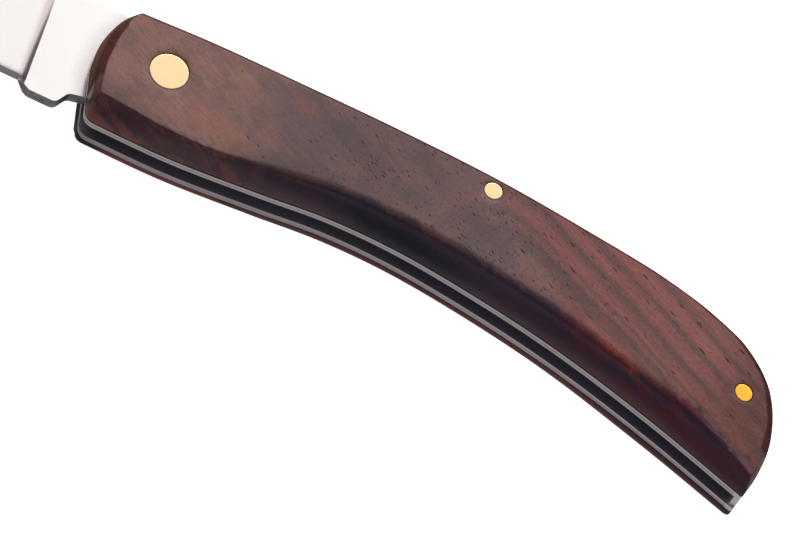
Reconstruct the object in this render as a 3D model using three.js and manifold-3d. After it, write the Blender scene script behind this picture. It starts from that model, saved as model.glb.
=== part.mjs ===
// Folding pocket knife with a curved wooden handle, shown open, lying on its side.
// Units are millimetres. The pivot's axis is the Z axis, and z = 0 is the lower wooden face.
// The blade points along -X, the butt along +X, the back along +Y and the slot's mouth along -Y.

import * as THREE from "three";
import { mergeVertices } from "three/addons/utils/BufferGeometryUtils.js";
import Module from "manifold-3d";

const wasm = await Module();
wasm.setup();

// Layers of the handle
const SCALE_THICKNESS = 4.5;
const LINER_THICKNESS = 1.25;
const BLADE_THICKNESS = 2.12;
const WASHER_THICKNESS = 0.3;
const BLADE_SIDE_GAP = 0.04;

// Handle outline at the liners, side by side round the handle
const TOP_CORNER = [-7.5, 8.75];
const LOWER_CORNER = [-7.5, -11.1];
const BEAK_TIP = [100.7, -15.1];
const END_POINTS = [[-9.3, 6.3], [-10.2, 3.9], [-10.62, 1.2], [-10.15, -3.1], [-8.9, -7.0]];
const SLOT_SIDE_POINTS = [
  [6, -10.25], [19.5, -8.3], [30, -6.57], [40.5, -5.93], [54, -6.5], [68, -8.0], [84, -11.0],
];
const BACK_POINTS = [
  [101.32, -11], [101.07, -5.2], [98.5, 1.35], [93.5, 6.03], [86.5, 8.95], [77, 10.85],
  [64, 11.75], [49, 12.25], [33, 11.83], [17, 10.87], [3.5, 9.93],
];
const LOWER_CORNER_TRIM = 2.6;
const LOWER_CORNER_TRIM_ON_FACE = 0.5;
const SHARP_CORNER_TRIM = 0.35;

// Width of the slope between each side and the flat wooden face, along the side
const END_BEVEL = [1.5, 2.07, 2.15, 1.97, 1.5, 1.2];
const BACK_BEVEL = [1.7, 2.0, 2.3, 2.3, 2.35, 2.3, 2.4];
const NEAR_SLOT_BEVEL = [2.65, 1.58, 2.5, 2.85, 2.7, 2.65, 3.5];
const FAR_SLOT_BEVEL = [3.5, 3.3, 2.5, 2.7, 2.5, 2.0, 2.3];

// Cross-section of that slope: share of its width against share of the scale's thickness
const BEVEL_PROFILE = [[0, 0], [0, 0.21], [0.22, 0.46], [0.58, 0.75], [1, 1]];
const NEAR_END_PROFILE = [[0, 0], [0.06, 0.24], [0.17, 0.5], [0.3, 0.755], [1, 1]];
const FAR_END_PROFILE = [[0, 0], [0, 0.24], [0, 0.5], [0.08, 0.755], [1, 1]];
const END_PROFILE_FADES = [0.35, 0.15];

// Crown that lets the wooden face fall away towards the butt
const CROWN_START_X = 80;
const CROWN_RADIUS = 67;
const CROWN_TURN = THREE.MathUtils.degToRad(15);

// Rivets
const PIVOT_RADIUS = 2.0;
const PIVOT_HEAD_RADIUS = 2.89;
const PIVOT_HEAD_DEPTH = 1.2;
const PIN_RADIUS = 1.36;
const MIDDLE_PIN = [49.1, 8.06];
const BUTT_PIN = [94.3, -1.16];
const PIN_CLEARANCE = 0.02;
const PIVOT_CLEARANCE = 0.05;
const WASHER_RADIUS = 5.0;

// Tang: a cam whose two flats the spring presses on, at rest open and at rest closed
const CLOSED_ANGLE = THREE.MathUtils.degToRad(172);
const CAM_RADIUS = 6.3;
const CAM_FLAT = 5.2;
const SPRING_END_X = -3.0;
const CONTACT_GAP = 0.04;

// Blade
const SPINE_Y = 8.78;
const TIP = [-90, -6.5];
const SPINE_DROP_START = 22;
const SPINE_DROP_POWER = 1.7;
const HEEL = [-18.6, -8.8];
const EDGE_BELLY = [-62, -11.6];
const TIP_WIDTH = 0.5;
const KICK = [[-17.12, -9.7], [-16.46, -10.01], [-12.27, -9.74], [-11.3, -7.6], [-10.9, -7.33]];
const TANG_FOOT = [-9.3, -6.83];
const PLUNGE_X = -19.1;
const PLUNGE_LEAN = -0.118;
const PLUNGE_RAMP = 1.5;
const SHOULDER_HEIGHT = 0.9;
const SHOULDER_THICKNESS = 0.66;
const EDGE_THICKNESS = 0.16;
const GRIND_SLOPE = 0.0335;
const NICK_X = -46;
const NICK_BELOW_SPINE = 3.1;
const NICK_HEIGHT = 1.5;
const NICK_DEPTH = 0.5;
const NICK_RADIUS = 21;

// Back spring, measured inwards from the handle's back
const SPRING_FLAT_END_X = 4.6;
const SPRING_WAIST_START_X = 12;
const SPRING_WAIST_END_X = 20;
const SPRING_WAIST = 2.7;
const SPRING_PIN_WALL = 1.6;
const SPRING_PIN_SPREAD = 9;
const SPRING_REAR = 4.2;
const SPRING_REAR_X = [66, 76, 85];
const BUTT_BOSS_RADIUS = 3.3;
const BUTT_BOSS_ARC = [155, 262].map(THREE.MathUtils.degToRad);
const TAIL_START = 5;
const SPRING_TAIL = 1.5;

// How finely curves are stepped
const END_STEPS = 14;
const SLOT_STEPS = 44;
const BACK_STEPS = 64;
const CORNER_STEPS = 5;
const ROUND_STEPS = 40;
const SPINE_STEPS = 18;
const EDGE_STEPS = 22;
const GRIND_STEPS = 18;
const CROWN_STEPS = 13;

// Heights worked out from the layers
const SLOT_WIDTH = BLADE_THICKNESS + 2 * (WASHER_THICKNESS + BLADE_SIDE_GAP);
const FAR_LINER_Z = SCALE_THICKNESS;
const SLOT_Z = FAR_LINER_Z + LINER_THICKNESS;
const NEAR_LINER_Z = SLOT_Z + SLOT_WIDTH;
const NEAR_SCALE_Z = NEAR_LINER_Z + LINER_THICKNESS;
const TOP_Z = NEAR_SCALE_Z + SCALE_THICKNESS;
const MIDDLE_Z = TOP_Z / 2;

const wood = new THREE.MeshStandardMaterial({ color: 0x6b4640, roughness: 0.38, metalness: 0 });
const steel = new THREE.MeshStandardMaterial({ color: 0xd8d6d4, roughness: 0.2, metalness: 1 });
const springSteel = new THREE.MeshStandardMaterial({ color: 0xa9a6a6, roughness: 0.3, metalness: 1 });
const brass = new THREE.MeshStandardMaterial({ color: 0xe8bd6a, roughness: 0.22, metalness: 1 });
const bronze = new THREE.MeshStandardMaterial({ color: 0xb07a45, roughness: 0.35, metalness: 1 });

const lerp = THREE.MathUtils.lerp;
const vec = ([x, y]) => new THREE.Vector2(x, y);

// Closed solids from geometries, and back
function solid(geometry) {
  const bare = geometry.clone();
  bare.deleteAttribute("normal");
  bare.deleteAttribute("uv");
  const merged = mergeVertices(bare, 1e-5);
  return new wasm.Manifold(new wasm.Mesh({
    numProp: 3,
    vertProperties: new Float32Array(merged.attributes.position.array),
    triVerts: new Uint32Array(merged.index.array),
  }));
}

function geometryOf(body) {
  const mesh = body.getMesh();
  const geometry = new THREE.BufferGeometry();
  geometry.setAttribute("position", new THREE.BufferAttribute(new Float32Array(mesh.vertProperties), 3));
  geometry.setIndex(new THREE.BufferAttribute(new Uint32Array(mesh.triVerts), 1));
  geometry.computeVertexNormals();
  return geometry;
}

function plate(points, z, thickness) {
  const shape = new THREE.Shape(points);
  const geometry = new THREE.ExtrudeGeometry(shape, { depth: thickness, bevelEnabled: false });
  return solid(geometry.translate(0, 0, z));
}

// A solid turned about an upright axis; profile is [radius, z] pairs from foot to head
function turned(profile, [x, y]) {
  const points = [[0, profile[0][1]], ...profile, [0, profile[profile.length - 1][1]]];
  const geometry = new THREE.LatheGeometry(points.map(([r, z]) => new THREE.Vector2(r, z)), ROUND_STEPS);
  return solid(geometry.rotateX(Math.PI / 2).translate(x, y, 0));
}

function rod(radius, z0, z1, place) {
  return turned([[radius, z0], [radius, z1]], place);
}

// A smooth side of the outline, with its inward normals and the bevel's width at each place
class Side {
  constructor(points, bevel) {
    const path = points.map(([x, y]) => new THREE.Vector3(x, y, 0));
    this.curve = new THREE.CatmullRomCurve3(path, false, "centripetal");
    this.curve.arcLengthDivisions = 600;
    this.length = this.curve.getLength();
    this.bevel = new THREE.CatmullRomCurve3(bevel.map((width, i) => new THREE.Vector3(i, width, 0)));
  }

  frame(t) {
    const point = this.curve.getPointAt(t);
    const along = this.curve.getTangentAt(t);
    return { point: vec([point.x, point.y]), along: vec([along.x, along.y]), inward: vec([-along.y, along.x]) };
  }

  width(t) {
    return this.bevel.getPoint(t).y;
  }
}

const endSide = new Side([TOP_CORNER, ...END_POINTS, LOWER_CORNER], END_BEVEL);
const backSide = new Side([BEAK_TIP, ...BACK_POINTS, TOP_CORNER], BACK_BEVEL);
const slotPoints = [LOWER_CORNER, ...SLOT_SIDE_POINTS, BEAK_TIP];
const nearSlotSide = new Side(slotPoints, NEAR_SLOT_BEVEL);
const farSlotSide = new Side(slotPoints, FAR_SLOT_BEVEL);

// How far a sharp corner moves when the sides that meet there move in by their bevels
function cornerShift(before, after) {
  const a = before.frame(1);
  const b = after.frame(0);
  const wa = before.width(1);
  const wb = after.width(0);
  const det = a.inward.x * b.inward.y - a.inward.y * b.inward.x;
  return vec([
    (wa * b.inward.y - wb * a.inward.y) / det,
    (wb * a.inward.x - wa * b.inward.x) / det,
  ]);
}

// The point at t on a side, moved in by a share of the bevel, still meeting its two corners
function sidePoint({ side, from, to }, t, share) {
  const { point, along, inward } = side.frame(t);
  const slide = lerp(from.dot(side.frame(0).along), to.dot(side.frame(1).along), t);
  return point.addScaledVector(inward, side.width(t) * share).addScaledVector(along, slide * share);
}

const smooth = (x) => THREE.MathUtils.smoothstep(x, 0, 1);

// The rings of a scale, from the liner to the flat face: points with their share of its thickness
function scaleRings(slotSide, endProfile) {
  const sides = [
    { side: endSide, steps: END_STEPS },
    { side: slotSide, steps: SLOT_STEPS },
    { side: backSide, steps: BACK_STEPS },
  ];
  sides.forEach((entry, i) => {
    const next = sides[(i + 1) % sides.length];
    entry.to = cornerShift(entry.side, next.side);
    next.from = entry.to;
  });
  const endWeight = (t) => smooth(t / END_PROFILE_FADES[0]) * smooth((1 - t) / END_PROFILE_FADES[1]);
  return BEVEL_PROFILE.map((bevelLevel, level) => {
    const lowerTrim = lerp(LOWER_CORNER_TRIM, LOWER_CORNER_TRIM_ON_FACE, bevelLevel[0]);
    const trims = [SHARP_CORNER_TRIM, lowerTrim, SHARP_CORNER_TRIM];
    const levelAt = (i, t) => {
      const weight = i === 0 ? endWeight(t) : 0;
      return bevelLevel.map((value, k) => lerp(value, endProfile[level][k], weight));
    };
    const points = [];
    sides.forEach((entry, i) => {
      const after = (i + 1) % sides.length;
      const start = trims[i] / entry.side.length;
      const end = 1 - trims[after] / entry.side.length;
      for (let k = 0; k <= entry.steps; k++) {
        const t = lerp(start, end, k / entry.steps);
        const [share, height] = levelAt(i, t);
        points.push({ at: sidePoint(entry, t, share), height });
      }
      const nextStart = trims[after] / sides[after].side.length;
      const [endShare, endHeight] = levelAt(i, end);
      const [nextShare, nextHeight] = levelAt(after, nextStart);
      const p = sidePoint(entry, end, endShare);
      const c = entry.side.frame(1).point.addScaledVector(entry.to, (endShare + nextShare) / 2);
      const q = sidePoint(sides[after], nextStart, nextShare);
      const corner = new THREE.QuadraticBezierCurve(p, c, q);
      for (let k = 1; k < CORNER_STEPS; k++) {
        const f = k / CORNER_STEPS;
        points.push({ at: corner.getPoint(f), height: lerp(endHeight, nextHeight, f) });
      }
    });
    return points;
  });
}

const nearRings = scaleRings(nearSlotSide, NEAR_END_PROFILE);
const farRings = scaleRings(farSlotSide, FAR_END_PROFILE);
const outline = nearRings[0].map(({ at }) => at);

// A wooden scale from its rings; direction is +1 for the near scale and -1 for the far one
function scaleBlank(rings, base, direction) {
  const count = outline.length;
  const positions = [];
  for (const points of rings) {
    for (const { at, height } of points) positions.push(at.x, at.y, base + direction * height * SCALE_THICKNESS);
  }
  const index = [];
  const face = (a, b, c) => index.push(...(direction > 0 ? [a, b, c] : [a, c, b]));
  for (let r = 0; r + 1 < rings.length; r++) {
    for (let k = 0; k < count; k++) {
      const a = r * count + k;
      const b = r * count + (k + 1) % count;
      face(a, b, b + count);
      face(a, b + count, a + count);
    }
  }
  const last = (rings.length - 1) * count;
  const top = rings[rings.length - 1].map(({ at }) => at);
  for (const [a, b, c] of THREE.ShapeUtils.triangulateShape(outline, [])) face(a, c, b);
  for (const [a, b, c] of THREE.ShapeUtils.triangulateShape(top, [])) face(last + a, last + b, last + c);
  const geometry = new THREE.BufferGeometry();
  geometry.setAttribute("position", new THREE.Float32BufferAttribute(positions, 3));
  geometry.setIndex(index);
  return solid(geometry);
}

// What is ground away from a face towards the butt
function crownCutter(direction) {
  const reach = 1.5 * (BEAK_TIP[0] - CROWN_START_X);
  const width = 4 * (TOP_CORNER[1] - LOWER_CORNER[1]);
  const step = reach / CROWN_STEPS;
  const points = [];
  for (let k = 0; k <= CROWN_STEPS; k++) {
    const s = (k - 0.5) * step;
    points.push(vec([s, (-Math.sign(s) * s * s) / (2 * CROWN_RADIUS)]));
  }
  points.push(vec([reach, SCALE_THICKNESS]), vec([-step / 2, SCALE_THICKNESS]));
  const geometry = new THREE.ExtrudeGeometry(new THREE.Shape(points), { depth: width, bevelEnabled: false });
  geometry.translate(0, 0, -width / 2).rotateX(Math.PI / 2);
  geometry.rotateZ(CROWN_TURN).translate(CROWN_START_X, 0, TOP_Z);
  const cutter = solid(geometry);
  return direction > 0 ? cutter : cutter.mirror([0, 0, 1]).translate([0, 0, TOP_Z]);
}

const nearCrown = crownCutter(1);
const farCrown = crownCutter(-1);

function smallPin(place) {
  return rod(PIN_RADIUS, 0, TOP_Z, place).subtract(nearCrown).subtract(farCrown);
}

function smallPinHoles(body) {
  for (const place of [MIDDLE_PIN, BUTT_PIN]) {
    body = body.subtract(rod(PIN_RADIUS + PIN_CLEARANCE, -1, TOP_Z + 1, place));
  }
  return body;
}

// The pivot rivet, peened out into a countersink in each scale; extra widens it into its own hole
function pivotProfile(extra) {
  const body = PIVOT_RADIUS + extra;
  const head = PIVOT_HEAD_RADIUS + extra;
  return [[head, 0], [body, PIVOT_HEAD_DEPTH], [body, TOP_Z - PIVOT_HEAD_DEPTH], [head, TOP_Z]];
}

function pivotHole() {
  const profile = pivotProfile(PIN_CLEARANCE);
  const head = profile[0][0];
  return turned([[head, -1], ...profile, [head, TOP_Z + 1]], [0, 0]);
}

function scale(rings, base, direction) {
  const crown = direction > 0 ? nearCrown : farCrown;
  return smallPinHoles(scaleBlank(rings, base, direction).subtract(crown).subtract(pivotHole()));
}

function liner(z) {
  return smallPinHoles(plate(outline, z, LINER_THICKNESS).subtract(pivotHole()));
}

function washer(z) {
  const disc = rod(WASHER_RADIUS, z, z + WASHER_THICKNESS, [0, 0]);
  return disc.subtract(rod(PIVOT_RADIUS + PIVOT_CLEARANCE, z - 1, z + WASHER_THICKNESS + 1, [0, 0]));
}

// Points of the handle's back from the beak to the front corner, x falling along the top
const firstBackPoint = END_STEPS + 1 + SLOT_STEPS + 1 + 2 * (CORNER_STEPS - 1);
const back = outline.slice(firstBackPoint, firstBackPoint + BACK_STEPS + 1);

// Height of the back above a place on the x axis, left of the butt's turn
function backY(x) {
  for (let k = back.length - 1; k > 0; k--) {
    const a = back[k];
    const b = back[k - 1];
    if (x >= a.x && x <= b.x) return lerp(a.y, b.y, (x - a.x) / (b.x - a.x));
  }
  return TOP_CORNER[1];
}

function spline(points, steps) {
  const path = points.map(([x, y]) => new THREE.Vector3(x, y, 0));
  return new THREE.CatmullRomCurve3(path, false, "centripetal").getPoints(steps).map(({ x, y }) => vec([x, y]));
}

function arc([x, y], radius, fromAngle, toAngle, steps) {
  return Array.from({ length: steps + 1 }, (_, k) => {
    const a = lerp(fromAngle, toAngle, k / steps);
    return vec([x + radius * Math.cos(a), y + radius * Math.sin(a)]);
  });
}

// The spring fills the handle's back, bears on the tang at its front end and closes the butt
function backSpring() {
  const underBack = (x, depth) => [x, backY(x) - depth];
  const [pinX, pinY] = MIDDLE_PIN;
  const underPin = pinY - PIN_RADIUS - SPRING_PIN_WALL;
  const boss = arc(BUTT_PIN, BUTT_BOSS_RADIUS, ...BUTT_BOSS_ARC, 9);
  const bossStart = boss[0].toArray();
  const bossEnd = boss[boss.length - 1].toArray();
  const tail = [TAIL_START, 3, 0].map((k) => [back[k].x - SPRING_TAIL, back[k].y]);
  const bearing = [[SPRING_END_X, CAM_FLAT], [SPRING_FLAT_END_X, CAM_FLAT]].map(vec);
  const arm = spline([
    underBack(SPRING_WAIST_START_X, SPRING_WAIST), underBack(SPRING_WAIST_END_X, SPRING_WAIST),
    [pinX - SPRING_PIN_SPREAD, underPin + 0.6], [pinX, underPin], [pinX + SPRING_PIN_SPREAD, underPin + 0.4],
    ...SPRING_REAR_X.map((x) => underBack(x, SPRING_REAR)), bossStart,
  ], 40);
  const inside = spline([bossEnd, [tail[0][0] - 1.6, bossEnd[1] - 0.5], ...tail], 20).slice(1);
  const outer = back.filter(({ x }) => x > SPRING_END_X + 0.2);
  const points = [
    ...bearing, ...arm, ...boss.slice(1), ...inside, ...outer, vec(underBack(SPRING_END_X, 0)),
  ];
  return smallPinHoles(plate(points, SLOT_Z, SLOT_WIDTH));
}

// Blade outline: spine and edge as functions of the distance in front of the pivot
function spineY(distance) {
  const f = Math.max(0, (distance - SPINE_DROP_START) / (-TIP[0] - SPINE_DROP_START));
  return SPINE_Y - (SPINE_Y - TIP[1] - TIP_WIDTH) * f ** SPINE_DROP_POWER;
}

const edgeCurve = new THREE.QuadraticBezierCurve(vec(HEEL), vec(EDGE_BELLY), vec(TIP));

function edgeY(distance) {
  const points = edgeCurve.getPoints(3 * EDGE_STEPS);
  for (let k = 1; k < points.length; k++) {
    if (-points[k].x >= distance) {
      const f = (distance + points[k - 1].x) / (points[k - 1].x - points[k].x);
      return lerp(points[k - 1].y, points[k].y, f);
    }
  }
  return TIP[1];
}

function bladeOutline() {
  const flatHeight = CAM_FLAT - CONTACT_GAP;
  const halfFlat = Math.acos(flatHeight / CAM_RADIUS);
  const openFlat = Math.PI / 2;
  const closedFlat = openFlat - CLOSED_ANGLE;
  const shoulderX = SPRING_END_X - CONTACT_GAP;
  const spine = [];
  for (let k = 0; k <= SPINE_STEPS; k++) {
    const distance = lerp(SPINE_DROP_START, -TIP[0], k / SPINE_STEPS);
    spine.push(vec([-distance, spineY(distance)]));
  }
  const tangTop = [shoulderX, (shoulderX + TOP_CORNER[0]) / 2].map((x) => vec([x, backY(x)]));
  return [
    ...tangTop, vec([TOP_CORNER[0], SPINE_Y]), ...spine,
    ...edgeCurve.getPoints(EDGE_STEPS).reverse(),
    ...KICK.map(vec), vec(TANG_FOOT),
    ...arc([0, 0], CAM_RADIUS, closedFlat - halfFlat, closedFlat + halfFlat, 1),
    ...arc([0, 0], CAM_RADIUS, closedFlat + halfFlat, openFlat - halfFlat, 16).slice(1),
    vec([shoulderX, flatHeight]),
  ];
}

// Everything outside the ground face of one side of the blade, above its middle plane
function grindCutter() {
  const half = BLADE_THICKNESS / 2;
  const depth = SPINE_Y - EDGE_BELLY[1];
  const heights = [-0.12 * depth, 0, SHOULDER_HEIGHT, 0.3 * depth, 0.6 * depth, 1.2 * depth];
  const ground = (w) => {
    if (w <= 0) return EDGE_THICKNESS / 2;
    if (w < SHOULDER_HEIGHT) return lerp(EDGE_THICKNESS, SHOULDER_THICKNESS, w / SHOULDER_HEIGHT) / 2;
    return SHOULDER_THICKNESS / 2 + (w - SHOULDER_HEIGHT) * GRIND_SLOPE;
  };
  const length = 1.05 * (PLUNGE_X - TIP[0]);
  const runs = [0, 0.08, 0.2, 0.4, 0.65, 1].map((f) => f * PLUNGE_RAMP);
  for (let k = 1; k <= GRIND_STEPS; k++) runs.push((k / GRIND_STEPS) * length);
  const clear = 2 * BLADE_THICKNESS;
  const positions = [];
  const row = (d, lift) => {
    const fade = 1 - smooth(d / (0.3 * length));
    for (const w of heights) {
      const y = edgeY(-PLUNGE_X + d) + w;
      const g = Math.sin((Math.PI / 2) * Math.min(1, d / PLUNGE_RAMP));
      const z = lift ? clear : lerp(half + CONTACT_GAP, ground(w), g);
      positions.push(PLUNGE_X - d + PLUNGE_LEAN * y * fade, y, z);
    }
  };
  for (const d of runs) row(d, false);
  for (const d of runs) row(d, true);
  const m = heights.length;
  const n = runs.length;
  const lower = (i, j) => i * m + j;
  const upper = (i, j) => (n + i) * m + j;
  const index = [];
  const quad = (a, b, c, d) => index.push(a, b, c, a, c, d);
  for (let i = 0; i + 1 < n; i++) {
    for (let j = 0; j + 1 < m; j++) {
      quad(lower(i, j), lower(i + 1, j), lower(i + 1, j + 1), lower(i, j + 1));
      quad(upper(i, j), upper(i, j + 1), upper(i + 1, j + 1), upper(i + 1, j));
    }
    quad(lower(i, 0), upper(i, 0), upper(i + 1, 0), lower(i + 1, 0));
    quad(lower(i, m - 1), lower(i + 1, m - 1), upper(i + 1, m - 1), upper(i, m - 1));
  }
  for (let j = 0; j + 1 < m; j++) {
    quad(lower(0, j), lower(0, j + 1), upper(0, j + 1), upper(0, j));
    quad(lower(n - 1, j), upper(n - 1, j), upper(n - 1, j + 1), lower(n - 1, j + 1));
  }
  const geometry = new THREE.BufferGeometry();
  geometry.setAttribute("position", new THREE.Float32BufferAttribute(positions, 3));
  geometry.setIndex(index);
  return solid(geometry);
}

// The nail nick: a shallow crescent, square at its upper edge
function nickCutter() {
  const cone = new THREE.CylinderGeometry(NICK_RADIUS, NICK_RADIUS - NICK_DEPTH, NICK_HEIGHT, 160);
  const y = spineY(-NICK_X) - NICK_BELOW_SPINE;
  const depthThere = BLADE_THICKNESS / 2 - NICK_DEPTH;
  return solid(cone.translate(NICK_X, y, depthThere + NICK_RADIUS));
}

function blade() {
  const cutter = grindCutter();
  const body = plate(bladeOutline(), -BLADE_THICKNESS / 2, BLADE_THICKNESS)
    .subtract(cutter)
    .subtract(cutter.mirror([0, 0, 1]))
    .subtract(nickCutter())
    .subtract(rod(PIVOT_RADIUS + PIVOT_CLEARANCE, -BLADE_THICKNESS, BLADE_THICKNESS, [0, 0]));
  return body.translate([0, 0, MIDDLE_Z]);
}

function node(name, body, material) {
  const mesh = new THREE.Mesh(geometryOf(body), material);
  mesh.name = name;
  return mesh;
}

const handle = new THREE.Group();
handle.name = "handle";
handle.add(
  node("far_scale", scale(farRings, FAR_LINER_Z, -1), wood),
  node("far_liner", liner(FAR_LINER_Z), springSteel),
  node("back_spring", backSpring(), springSteel),
  node("near_liner", liner(NEAR_LINER_Z), springSteel),
  node("near_scale", scale(nearRings, NEAR_SCALE_Z, 1), wood),
  node("far_washer", washer(SLOT_Z), bronze),
  node("near_washer", washer(NEAR_LINER_Z - WASHER_THICKNESS), bronze),
  node("pivot_rivet", turned(pivotProfile(0), [0, 0]), brass),
  node("middle_pin", smallPin(MIDDLE_PIN), brass),
  node("butt_pin", smallPin(BUTT_PIN), brass),
);

const knife = new THREE.Group();
knife.name = "folding_knife";
knife.add(handle, node("blade", blade(), steel));

export default knife;
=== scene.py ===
"""Folding pocket knife: its fine pieces, finishes, stage, light and camera.

Lengths are in millimetres, as in the part's source, and become metres when a mesh is made.
"""

import math

import bmesh
import bpy
import numpy as np
from mathutils import Matrix, Vector
from mathutils.geometry import delaunay_2d_cdt


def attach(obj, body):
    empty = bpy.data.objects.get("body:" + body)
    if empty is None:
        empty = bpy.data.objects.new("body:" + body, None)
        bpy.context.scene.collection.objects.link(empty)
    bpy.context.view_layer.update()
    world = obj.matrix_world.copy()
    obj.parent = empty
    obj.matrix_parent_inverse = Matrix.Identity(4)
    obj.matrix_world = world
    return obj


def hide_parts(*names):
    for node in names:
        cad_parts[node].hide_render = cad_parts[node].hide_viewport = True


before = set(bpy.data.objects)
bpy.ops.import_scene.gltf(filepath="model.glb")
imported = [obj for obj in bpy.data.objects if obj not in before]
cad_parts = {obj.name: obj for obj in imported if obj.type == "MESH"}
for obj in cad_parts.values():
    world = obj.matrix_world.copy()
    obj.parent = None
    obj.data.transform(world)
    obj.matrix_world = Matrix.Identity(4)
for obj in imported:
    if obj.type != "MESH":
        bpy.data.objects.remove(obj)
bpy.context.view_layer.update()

MM = 0.001

# Layers of the handle, from the lower wooden face up
SCALE_THICKNESS = 4.5
FAR_LINER_Z = 4.5
SLOT_Z = 5.75
NEAR_LINER_Z = 8.55
NEAR_SCALE_Z = 9.8
TOP_Z = 14.3
MIDDLE_Z = TOP_Z / 2
LINER_THICKNESS = 1.25
SLOT_WIDTH = NEAR_LINER_Z - SLOT_Z
BLADE_THICKNESS = 2.12
WASHER_THICKNESS = 0.3

# Handle outline
TOP_CORNER = (-7.5, 8.75)
LOWER_CORNER = (-7.5, -11.1)
BEAK_TIP = (100.7, -15.1)
END_POINTS = [(-9.3, 6.3), (-10.2, 3.9), (-10.62, 1.2), (-10.15, -3.1), (-8.9, -7.0)]
SLOT_POINTS = [(6, -10.25), (19.5, -8.3), (30, -6.57), (40.5, -5.93), (54, -6.5), (68, -8.0), (84, -11.0)]
BACK_POINTS = [
    (101.32, -11), (101.07, -5.2), (98.5, 1.35), (93.5, 6.03), (86.5, 8.95), (77, 10.85),
    (64, 11.75), (49, 12.25), (33, 11.83), (17, 10.87), (3.5, 9.93),
]
LOWER_CORNER_TRIM = 1.7
LOWER_CORNER_TRIM_ON_FACE = 0.5
SHARP_CORNER_TRIM = 0.35

# Width of the slope round the wooden face, along each side
END_BEVEL = [1.5, 2.07, 2.15, 1.97, 1.5, 1.2]
BACK_BEVEL = [1.7, 2.0, 2.3, 2.3, 2.35, 2.3, 2.4]
NEAR_SLOT_BEVEL = [2.65, 1.58, 2.5, 2.85, 2.7, 2.65, 3.5]
FAR_SLOT_BEVEL = [3.5, 3.3, 2.5, 2.7, 2.5, 2.0, 2.3]

# Cross-section of the slope up from the liner: shares of its width and of the scale's thickness
WALL_SHARE = 0.21
SLOPE_PROFILE = [(0, 0), (0, WALL_SHARE), (0.22, 0.46), (0.58, 0.75), (1, 1)]
NEAR_END_PROFILE = [(0, 0), (0.06, 0.24), (0.17, 0.5), (0.3, 0.755), (1, 1)]
FAR_END_PROFILE = [(0, 0), (0, 0.24), (0, 0.5), (0.08, 0.755), (1, 1)]
END_PROFILE_FADES = (0.35, 0.15)
SEAM_ROUNDING = 0.13
SLOPE_SOFTNESS = 0.45
SECTION_STEPS = [3, 4, 4, 6, 9]
# Reach of the soft crease onto the flat face, at shares of the slot side
CREASE_SHARES = [0, 0.16, 0.27, 0.86, 0.95, 1]
CREASE_REACH = [0.14, 0.16, 1.15, 1.15, 0.35, 0.3]

# Crown towards the butt
CROWN_START_X = 80
CROWN_RADIUS = 67
CROWN_TURN = math.radians(15)
CROWN_BLEND = 0.1

# Rivets and washers
PIVOT = (0, 0)
PIVOT_RADIUS = 2.0
PIVOT_HEAD_RADIUS = 2.89
PIVOT_HEAD_DEPTH = 1.2
PIN_RADIUS = 1.36
MIDDLE_PIN = (49.1, 8.06)
BUTT_PIN = (94.25, -1.6)
RIVET_DOME = 0.006
WASHER_RADIUS = 5.0
WASHER_EDGE = 0.05
PIVOT_EDGE = 0.1
PIN_EDGE = 0.09
TURN_RADIUS = 10.0
HOLE_CLEARANCE = 0.02
HOLE_EDGE = 0.1
TANG_CLEARANCE = 0.05

# Tang and blade
CLOSED_ANGLE = math.radians(172)
CAM_RADIUS = 6.3
CAM_FLAT = 5.2
CONTACT_GAP = 0.04
SPINE_Y = 8.78
TIP = (-90, -6.5)
SPINE_DROP_START = 22
SPINE_DROP_POWER = 1.7
HEEL = (-18.6, -8.8)
EDGE_BELLY = (-62, -11.6)
TIP_WIDTH = 0.5
KICK = [(-17.12, -9.7), (-16.46, -10.01), (-12.27, -9.74), (-11.3, -7.6), (-10.9, -7.33)]
TANG_FOOT = (-9.3, -6.83)
TANG_ROUNDING = [0.45, 0.35, 0.7, 0.45, 0.3, 0.25]
PLUNGE_X = -18.73
PLUNGE_LEAN = -0.138
PLUNGE_RAMP = 1.25
PLUNGE_POWER = 2.2
GRIND_LENGTH = 1.05 * (PLUNGE_X - TIP[0])
SHOULDER_HEIGHT = 0.9
SHOULDER_THICKNESS = 0.66
EDGE_THICKNESS = 0.16
GRIND_SLOPE = 0.0335
NICK_X = -46
NICK_BELOW_SPINE = 3.1
NICK_HEIGHT = 1.5
NICK_DEPTH = 0.5
NICK_RADIUS = 21
NICK_ZONE = (5.5, 1.1)
BLADE_EDGE = 0.07

# Back spring
SPRING_END_X = -3.0
SPRING_FLAT_END_X = 3.7
SPRING_WAIST_START_X = 12
SPRING_WAIST_END_X = 20
SPRING_WAIST = 2.7
SPRING_PIN_WALL = 1.6
SPRING_PIN_SPREAD = 9
SPRING_REAR = 4.2
SPRING_REAR_X = [66, 76, 85]
BUTT_BOSS_RADIUS = 3.3
BUTT_BOSS_ARC = (math.radians(155), math.radians(262))
TAIL_START_Y = -10.9
SPRING_TAIL = 0.95
SPRING_PLAY = 0.01
PLATE_EDGE = 0.07

# How finely the outlines are stepped
END_STEPS = 44
SLOT_STEPS = 170
BACK_STEPS = 200
CORNER_STEPS = 8
ROUND_STEPS = 72
PLATE_HOLE_STEPS = 48


# Curves

def lerp(a, b, f):
    return a + (b - a) * f


def norm(vectors):
    return np.linalg.norm(vectors, axis=-1)


def smooth(f):
    f = np.clip(f, 0, 1)
    return f * f * (3 - 2 * f)


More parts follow.
